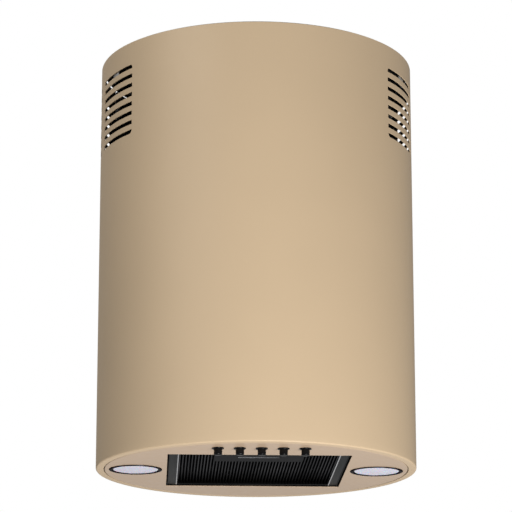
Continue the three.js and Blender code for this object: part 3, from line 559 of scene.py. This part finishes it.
def outer_tube():
    inner = TUBE_RADIUS - TUBE_WALL
    wall = [(TUBE_TOP, None)]
    for i in range(VENT_COUNT):
        middle = VENT_TOP - i * VENT_PITCH
        wall += [(middle + VENT_HEIGHT / 2, ("high", i)), (middle - VENT_HEIGHT / 2, ("low", i))]
    wall += [(z, None) for z in (-150.0, -240.0, -330.0, -420.0, -480.0, -500.0)]
    rows = [(TUBE_RADIUS, z, tag) for z, tag in wall]
    steps = 7
    for k in range(steps + 1):
        a = math.radians(90 * k / steps)
        radius = TUBE_RADIUS - FOLD * (1 - math.cos(a))
        rows.append((radius, BOTTOM + FOLD * (1 - math.sin(a)), None))
    rows.append((LIP_RADIUS, BOTTOM, None))
    rows.append((LIP_RADIUS, BOTTOM + SHEET, None))
    small = FOLD - TUBE_WALL
    for k in range(3):
        a = math.radians(90 * (1 - k / 2))
        radius = TUBE_RADIUS - FOLD + small * math.cos(a)
        rows.append((radius, BOTTOM + FOLD - small * math.sin(a), None))
    first_inner = len(rows)
    rows += [(inner, z, tag) for z, tag in reversed(wall)]
    mate = {j: first_inner + len(wall) - 1 - j for j in range(len(wall))}

    shell = Shell()
    columns = tube_columns()
    grid = []
    for azimuth in columns:
        drop = corner_drop(azimuth)
        column = []
        for radius, z, tag in rows:
            if tag == ("high", 0):
                z -= drop
            elif tag == ("low", VENT_COUNT - 1):
                z += drop
            x, y = on_circle(radius, azimuth)
            column.append(shell.bm.verts.new((x * MM, y * MM, z * MM)))
        grid.append(column)

    def in_vents(k):
        middle = (columns[k] + (columns[k + 1] if k + 1 < len(columns) else columns[0] + 360)) / 2
        side = abs(middle if middle <= 180 else middle - 360)
        return VENT_START < side < VENT_BAR[0] or VENT_BAR[1] < side < VENT_END

    def is_slot(j):
        return j < len(wall) - 1 and wall[j][1] is not None and wall[j][1][0] == "high"

    slot_rows = {j for j in range(len(wall) - 1) if is_slot(j)}
    open_rows = slot_rows | {mate[j + 1] for j in slot_rows}
    count = len(columns)
    for k in range(count):
        m = (k + 1) % count
        vents = in_vents(k)
        for j in range(len(rows)):
            n = (j + 1) % len(rows)
            if vents and j in open_rows:
                continue
            # Inner wall faces take the painted-shade finish.
            mat = 1 if first_inner <= j < len(rows) - 1 else 0
            shell.face([grid[k][j], grid[m][j], grid[m][n], grid[k][n]], mat)
        if not vents:
            continue
        for j in slot_rows:
            for row in (j, j + 1):
                inside = mate[row]
                shell.face([grid[k][row], grid[m][row], grid[m][inside], grid[k][inside]])
            if not in_vents((k - 1) % count):
                shell.face([grid[k][j], grid[k][j + 1], grid[k][mate[j + 1]], grid[k][mate[j]]])
            if not in_vents(m):
                shell.face([grid[m][j], grid[m][j + 1], grid[m][mate[j + 1]], grid[m][mate[j]]])
    piece = shell.done("tube_skin", "chassis", [beige, inside_wall_painted_shade], ["outer_tube"])
    return bevel(piece, 0.22, angle=60)


outer_tube()


# ------------------------------------------------------------------ bottom panel

def bottom_panel():
    ease = 0.9
    chain = [(-ease * (1 - math.sin(a)), BOTTOM + ease * (1 - math.cos(a)))
             for a in (math.radians(90 * k / 5) for k in range(6))]
    chain += [(0.0, BOTTOM + PANEL_RIM), (-SHEET, BOTTOM + PANEL_RIM), (-SHEET, BOTTOM + SHEET)]
    hole_chain = edge_chain(BOTTOM, BOTTOM + SHEET, 0.3, False)
    holes = [(rounded_rect(OPENING, 0.8), hole_chain)]
    holes += [(circle(x, BUTTON_Y, BUTTON_HOLE, 48), hole_chain) for x in BUTTON_X]
    holes += [(circle(side * LAMP_X, LAMP_Y, LAMP_HOLE, 96), hole_chain) for _, side in SIDES]
    shell = Shell()
    shell.plate(circle(0, 0, PANEL_RADIUS, 288), chain, holes)
    shell.done("underside_panel", "chassis", [panel_beige_painted_shade], ["bottom_panel"])


bottom_panel()


# ------------------------------------------------------------------ ceiling plate

def plate_outline(grow):
    """The ceiling plate's edge, with the shallow relief that clears the tube's welded seam."""
    points = []
    for k in range(360):
        relief = SEAM_RELIEF if SEAM_SPAN[0] <= k <= SEAM_SPAN[1] else 0.0
        points.append(on_circle(PLATE_RADIUS - relief + grow, k))
    return points


def ceiling_plate():
    chain = edge_chain(PLATE_LOW, 0.0, 0.3, True)
    hole = edge_chain(PLATE_LOW, 0.0, 0.3, False)
    holes = [(circle(0, 0, DUCT_HOLE_RADIUS, 144), hole), (circle(*GROMMET, 10.3, 48), hole)]
    for angle in STUD_ANGLES:
        place = on_circle(STUD_CIRCLE, angle)
        holes.append((rounded_rect((-11, 11, -3.5, 3.5), 3.3, math.radians(angle), place), hole))
    for angle in SCREW_ANGLES:
        holes.append((circle(*on_circle(SCREW_CIRCLE, angle), 2.5, 24), hole))
    shell = Shell()
    shell.plate(plate_outline, chain, holes)
    shell.done("ceiling_plate", "chassis", [black_coat], ["top_plate"])


ceiling_plate()


def at(x, y, base=0.0):
    return lambda px, py, pz: (x + px, y + py, base + pz)


def along_x(y, z):
    """Lays a turned shape along X with its axis through (y, z)."""
    return lambda px, py, pz: (pz, y + px, z + py)


def turned_piece(name, body, material, profile, ease, place, replaces, count=64):
    shell = Shell()
    shell.revolve(eased(profile, ease), count, place)
    return shell.done(name, body, [material], replaces)


turned_piece("plate_grommet", "chassis", black_rubber,
             [(6, -4.4), (12, -4.4), (12, -2.4), (9.8, -2.4), (9.8, -0.2), (6, -0.2)],
             0.8, at(*GROMMET), ["cable_grommet"])


# ------------------------------------------------------------------ grease filter

def filter_frame():
    """The rolled frame: one section swept round four mitred corners."""
    face, top = FILTER_FACE, FILTER_TOP
    section = []  # (share of the strip, millimetres beyond it, height, finish of the next face)
    for k in range(5):
        a = math.radians(90 * k / 4)
        section.append((0, 0.9 * (1 - math.sin(a)), face + 0.9 * (1 - math.cos(a)), 0))
    section.reverse()
    section += [(0, 0, top - 0.6, 0), (0, 0.6, top, 0), (1, -0.6, top, 0), (1, 0, top - 0.6, 0)]
    section += [(1, 0, face + 1.1, 1)]
    for k in range(7):
        a = math.radians(20 + 160 * k / 6)
        section.append((1, -0.75 + 0.75 * math.cos(a), face + 0.5 - 0.75 * math.sin(a), 1))
    section[-1] = (*section[-1][:3], 0)
    section.append((1, -1.9, face, 0))
    x0, x1, y0, y1 = FILTER
    corners = [(1, 0), (1, 1), (0, 1), (0, 0)]
    shell = Shell()
    rings = []
    for right, back in corners:
        ring = []
        for share, more, z, _ in section:
            dx, dy = share * SIDE_STRIP + more, share * END_STRIP + more
            x = x1 - dx if right else x0 + dx
            y = y1 - dy if back else y0 + dy
            ring.append(shell.bm.verts.new((x * MM, y * MM, z * MM)))
        rings.append(ring)
    for c in range(4):
        a, b = rings[c], rings[(c + 1) % 4]
        for j in range(len(section)):
            n = (j + 1) % len(section)
            # The two end strips take the third finish, the painted-shade copy.
            shell.face([a[j], b[j], b[n], a[n]], section[j][3] if c in (0, 2) else 2)
    shell.done("filter_surround", "filter",
               [anthracite, bare_edge, end_strip_painted_shade], ["filter_frame"], sharp=32)
    for name, side in SIDES:
        hook = Shell()
        hook.block(side * 60 - 12, side * 60 + 12, y1 + 0.02, y1 + 3.9, face + 4, face + 5.2, 0.3)
        hook.done(f"filter_hook_{name}", "filter", [anthracite])


filter_frame()


def filter_ribs():
    x0, x1, y0, y1 = PACK
    ribs = int((x1 - x0) // RIB_PITCH)
    start = -ribs * RIB_PITCH / 2
    knee = [(0.0, 0.0), (0.10, 0.0), (0.155, 0.05), (0.19, 0.16), (0.33, 0.86), (0.37, 0.96),
            (0.42, 1.0), (0.58, 1.0), (0.63, 0.96), (0.67, 0.86), (0.81, 0.16), (0.845, 0.05),
            (0.90, 0.0)]
    xs = []
    for i in range(ribs):
        for share, depth in knee:
            low = MESH_LOW + MESH_WAVE * depth
            xs.append((start + (i + share) * RIB_PITCH, low, low + MESH_SHEET))
    xs.append((start + ribs * RIB_PITCH, MESH_LOW, MESH_LOW + MESH_SHEET))
    ys = [y0, HANDLE[3] + 0.5, 30.0, y1]
    reach = HANDLE[1] + 0.5

    def present(i, j):
        middle = (xs[i][0] + xs[i + 1][0]) / 2
        return j > 0 or abs(middle) > reach

    shell = Shell()
    shell.slab(xs, ys, present)
    shell.done("filter_ribs", "filter", [rib_metal], ["filter_mesh"], sharp=55)


filter_ribs()


def filter_handle():
    face = FILTER_FACE + 0.1
    shell = Shell()
    outer = rounded_rect(HANDLE, 1.2)
    slot = rounded_rect(FINGER_SLOT, 1.6)
    room = rounded_rect((-50, 50, HANDLE[2] + 1.4, HANDLE[3] - 1.5), 1.0)
    outside = [shell.loop(outer(g), z) for g, z in edge_chain(face, HANDLE_TOP, 0.5, True)]
    ease = 0.45
    arc = [(ease * (1 - math.sin(a)), face + ease * (1 - math.cos(a)))
           for a in (math.radians(90 * k / 3) for k in range(4))]
    rim = [shell.loop(slot(g), z) for g, z in [*arc, (0.0, face + 1.2)]]
    shell.stack(outside)
    shell.stack(rim)
    shell.cap([outside[0], rim[0]])
    shell.cap([outside[-1]])
    floor_loop = shell.loop(room(), face + 1.2)
    roof_loop = shell.loop(room(), HANDLE_TOP - 1)
    shell.cap([floor_loop, rim[-1]])
    shell.strip(floor_loop, roof_loop)
    shell.cap([roof_loop])
    shell.done("filter_handle_plate", "filter", [handle_metal], ["filter_handle"])


filter_handle()


# ------------------------------------------------------------------ lamps

def lamps():
    ring = [(27.4, -0.5, 0.2), (28.4, -1.0, 0.5), (29.6, -1.1, 0.6), (31.2, -1.0, 0.7),
            (32.25, -0.7, 0.3), (32.25, -0.3, 0.1), (28.8, -0.3, 0.1), (28.8, 12, 0.3),
            (26.8, 12, 0.3), (26.8, 1.2, 0.1), (27.4, 1.2, 0.1)]
    dome = [(27.1 * k / 16, -0.7 + 0.45 * (k / 16) ** 2) for k in range(16)]
    glass = dome + [(26.95, -0.25), (27.1, -0.1), (27.1, 0.9), (0, 0.9)]
    can = [(0, 1.2), (26.3, 1.2), (26.3, 16), (21.3, 16), (21.3, 19), (26.3, 19), (26.3, 26),
           (0, 26)]
    for name, side in SIDES:
        place = at(side * LAMP_X, LAMP_Y, BOTTOM)
        turned_piece(f"lamp_ring_{name}", "chassis", dark_reflection_chrome, ring, 0.3, place,
                     [f"lamp_bezel_{name}"], 128)
        pane = Shell()
        pane.revolve(glass, 128, place)
        pane.done(f"lamp_glass_{name}", "chassis", [lens], [f"lamp_lens_{name}"])
        turned_piece(f"lamp_can_{name}", "chassis", cast, can, 0.8, place,
                     [f"lamp_body_{name}"], 96)


lamps()


# ------------------------------------------------------------------ push-buttons

def buttons():
    bezel = [(5.3, -1.7, 0.25), (6.4, -1.7, 0.5), (7.05, -1.0, 0.6), (7.05, -0.3, 0.12),
             (5.95, -0.3, 0.1), (5.95, 5, 0.2), (5.3, 5, 0.2)]
    tip = [(0, -9), (1.2, -8.98), (2.4, -8.9), (3.3, -8.76), (4.0, -8.5), (4.45, -8.15),
           (4.75, -7.7), (4.87, -7.2), (4.9, -6.6)]
    cap = tip + [(4.9, 6), (2.5, 6), (2.5, 17.5), (0, 17.5)]
    for i, x in enumerate(BUTTON_X, 1):
        place = at(x, BUTTON_Y, BOTTOM)
        turned_piece(f"button_ring_{i}", "chassis", gloss_black, bezel, 0.2, place,
                     [f"button_bezel_{i}"], 48)
        knob = Shell()
        knob.revolve(cap, 48, place)
        knob.done(f"button_knob_{i}", f"button_{i}", [gloss_black],
                  [f"button_cap_{i}"])


buttons()


# ------------------------------------------------------------------ turned parts inside

turned_piece("motor_can", "chassis", cast,
             [(0, -92), (32, -92), (38, -86), (38, -18), (30, -14), (4.4, -14), (4.4, -42),
              (0, -42)],
             1.6, along_x(FAN_Y, FAN_Z), ["motor_body"], 96)
turned_piece("start_capacitor", "chassis", grey_case,
             [(0, 0), (15, 0), (15, 52), (0, 52)], 1.4, at(*CAPACITOR, CONTROL_LOW + 1.8),
             ["capacitor"], 64)
turned_piece("supply_gland", "chassis", black_rubber,
             [(3.8, -8), (5.9, -8), (5.9, 0.3), (10, 0.3), (10, 6), (8, 6), (7, 14), (3.8, 14)],
             0.8, at(*GLAND, CONTROL_HIGH), ["cable_gland"], 48)
for side_name, side in SIDES:
    bell = [(55, 50), (57.5, 50), (57.5, 56.3), (70, 56.3), (70, 57.8), (62, 58.6), (56, 57)]
    turned_piece(f"inlet_bell_{side_name}", "chassis", matt_black,
                 [(radius, side * reach) for radius, reach in bell], 0.9, along_x(FAN_Y, FAN_Z),
                 [f"inlet_ring_{side_name}"], 96)


# ------------------------------------------------------------------ carried-over CAD nodes

def smooth_by_angle():
    """Geometry nodes that shade a faceted node smooth, except across edges over 32 degrees."""
    group = bpy.data.node_groups.new("smooth_by_angle", "GeometryNodeTree")
    group.interface.new_socket("Geometry", in_out="INPUT", socket_type="NodeSocketGeometry")
    group.interface.new_socket("Geometry", in_out="OUTPUT", socket_type="NodeSocketGeometry")
    start = group.nodes.new("NodeGroupInput")
    end = group.nodes.new("NodeGroupOutput")
    faces = group.nodes.new("GeometryNodeSetShadeSmooth")
    edges = group.nodes.new("GeometryNodeSetShadeSmooth")
    edges.domain = "EDGE"
    edges.inputs["Shade Smooth"].default_value = False
    angle = group.nodes.new("GeometryNodeInputMeshEdgeAngle")
    compare = group.nodes.new("FunctionNodeCompare")
    compare.operation = "GREATER_THAN"
    compare.inputs[1].default_value = math.radians(32)
    links = group.links
    links.new(angle.outputs["Unsigned Angle"], compare.inputs[0])
    links.new(start.outputs[0], faces.inputs["Geometry"])
    links.new(faces.outputs[0], edges.inputs["Geometry"])
    links.new(compare.outputs["Result"], edges.inputs["Selection"])
    links.new(edges.outputs[0], end.inputs[0])
    return group


SMOOTH = smooth_by_angle()

SLOT_FINISH = {
    "beige_paint": beige, "black_paint": black_coat, "galvanised": zinc, "zinc_screw": screw_zinc,
    "dark_aluminium": anthracite, "mesh_aluminium": rib_metal, "pale_aluminium": pale_metal,
    "black_plastic": gloss_black, "black_moulding": matt_black, "chrome_ring": dark_reflection_chrome,
    "frosted_lens": lens, "cast_aluminium": cast, "steel_shaft": shaft_steel,
    "grey_plastic": grey_case, "green_plastic": green_case, "black_rubber": black_rubber,
}

for part in frame["record"]["subparts"]:
    node = frame["nodes"][part["node"]]
    node.data.materials.clear()
    node.data.materials.append(SLOT_FINISH[part["material_slot"]])
    if node.hide_render:
        continue
    weld = node.modifiers.new("weld", "WELD")
    weld.merge_threshold = 1e-6
    bevel(node, 0.25, 2, 40).modifiers["eased_edges"].harden_normals = False
    node.modifiers.new("smooth", "NODES").node_group = SMOOTH


# ------------------------------------------------------------------ floor, light and camera

def make_floor():
    mesh = bpy.data.meshes.new("floor")
    reach, height = 60.0, -3.6
    mesh.from_pydata([(-reach, -reach, height), (reach, -reach, height), (reach, reach, height),
                      (-reach, reach, height)], [], [(0, 1, 2, 3)])
    mesh.materials.append(floor_finish("pale_floor"))
    plane = bpy.data.objects.new("floor", mesh)
    bpy.context.scene.collection.objects.link(plane)


make_floor()


def softbox(name, place, aim, size, watts, colour):
    data = bpy.data.lights.new(name, "AREA")
    data.shape = "RECTANGLE"
    data.size, data.size_y = size
    data.energy = watts
    data.color = colour
    lamp = bpy.data.objects.new(name, data)
    lamp.location = place
    lamp.rotation_mode = "QUATERNION"
    lamp.rotation_quaternion = (Vector(aim) - Vector(place)).to_track_quat("-Z", "Y")
    lamp.visible_camera = False
    bpy.context.scene.collection.objects.link(lamp)


softbox("low_key", (0.6, -1.55, -1.88), (0, 0, -0.28), (1.1, 1.1), 53, (1.0, 0.985, 0.97))
softbox("high_fill", (-1.45, -1.2, 0.93), (0, 0, -0.25), (1.3, 1.3), 15, (1.0, 0.985, 0.965))
softbox("rear_fill", (-0.6, 2.1, 1.9), (0, 0, -0.25), (1.3, 1.3), 34, (1.0, 0.985, 0.965))
# A large dim card behind and below: it shows only as a pale sheen on the underside.
softbox("back_card", (0.15, 3.2, -1.45), (0, 0, -0.51), (3.4, 1.5), 4, (0.96, 0.97, 1.0))


def make_world():
    world = bpy.data.worlds.new("studio")
    bpy.context.scene.world = world
    world.use_nodes = True
    tree = world.node_tree
    tree.nodes.clear()
    output = tree.nodes.new("ShaderNodeOutputWorld")
    mix = tree.nodes.new("ShaderNodeMixShader")
    path = tree.nodes.new("ShaderNodeLightPath")
    around = tree.nodes.new("ShaderNodeBackground")
    seen = tree.nodes.new("ShaderNodeBackground")
    seen.inputs["Color"].default_value = (1, 1, 1, 1)
    around.inputs["Color"].default_value = (1.0, 0.99, 0.975, 1)
    coords = tree.nodes.new("ShaderNodeTexCoord")
    split = tree.nodes.new("ShaderNodeSeparateXYZ")
    fall = tree.nodes.new("ShaderNodeMapRange")
    fall.inputs["From Min"].default_value = -1.0
    fall.inputs["From Max"].default_value = 1.0
    fall.inputs["To Min"].default_value = 0.27
    fall.inputs["To Max"].default_value = 0.25
    tree.links.new(coords.outputs["Generated"], split.inputs["Vector"])
    tree.links.new(split.outputs["Y"], fall.inputs["Value"])
    tree.links.new(fall.outputs["Result"], around.inputs["Strength"])
    tree.links.new(path.outputs["Is Camera Ray"], mix.inputs["Fac"])
    tree.links.new(around.outputs["Background"], mix.inputs[1])
    tree.links.new(seen.outputs["Background"], mix.inputs[2])
    tree.links.new(mix.outputs["Shader"], output.inputs["Surface"])


make_world()

scene = bpy.context.scene
scene.view_settings.view_transform = "Standard"
scene.view_settings.look = "None"

camera_data = bpy.data.cameras.new("camera")
camera_data.sensor_width = 36.0
camera_data.lens = 178.0
camera = bpy.data.objects.new("camera", camera_data)
camera.location = (-0.1325, -3.0439, -1.0473)
camera.rotation_mode = "QUATERNION"
camera.rotation_quaternion = Vector((0.0420, 0.9657, 0.2564)).to_track_quat("-Z", "Y")
camera_data.clip_start = 0.05
camera_data.clip_end = 100.0
scene.collection.objects.link(camera)
scene.camera = camera
